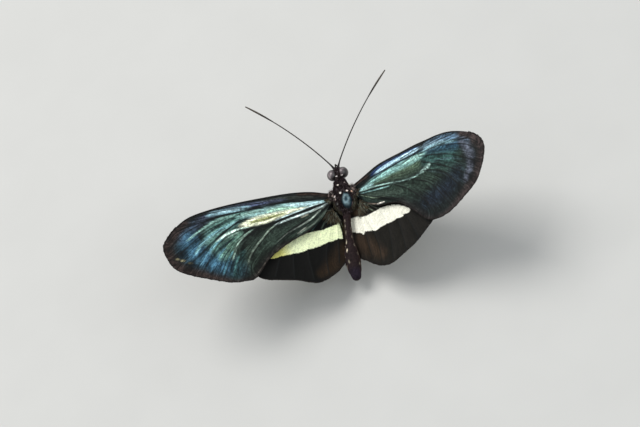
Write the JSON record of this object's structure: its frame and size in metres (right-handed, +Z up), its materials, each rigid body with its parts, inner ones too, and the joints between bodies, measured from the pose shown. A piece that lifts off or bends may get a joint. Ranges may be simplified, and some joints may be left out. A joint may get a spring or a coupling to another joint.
{
  "type": "longwing butterfly model (heliconius chestertonii)",
  "caption": "Life-size longwing butterfly standing on four legs, wings raised in a shallow V, black-blue forewings and a cream bar on each hindwing.",
  "frame": {"origin": "on the floor under the middle of the bounding box; the feet stand on Z = 0", "axes": "+X to the insect's right, along the wingspan; +Y towards its head; +Z up"},
  "size_m": [0.0636, 0.0382, 0.0265],
  "materials": {
    "body": "black cuticle with short hair and pale spots",
    "eye": "glossy dark grey-purple",
    "antenna": "dark, finely ringed",
    "forewing": "black with a blue-green sheen",
    "hindwing": "velvet black with a cream bar",
    "leg": "dark cuticle"
  },
  "bodies": {
    "root": {"head": "body", "eye_left": "eye", "eye_right": "eye", "palp_left": "body", "palp_right": "body", "proboscis": "body", "antenna_left": "antenna", "antenna_right": "antenna", "thorax": "body", "abdomen": "body", "forewing_left": "forewing", "forewing_right": "forewing", "hindwing_left": "hindwing", "hindwing_right": "hindwing", "foreleg_left": "leg", "foreleg_right": "leg", "midleg_left": "leg", "midleg_right": "leg", "hindleg_left": "leg", "hindleg_right": "leg"}
  },
  "joints": []
}
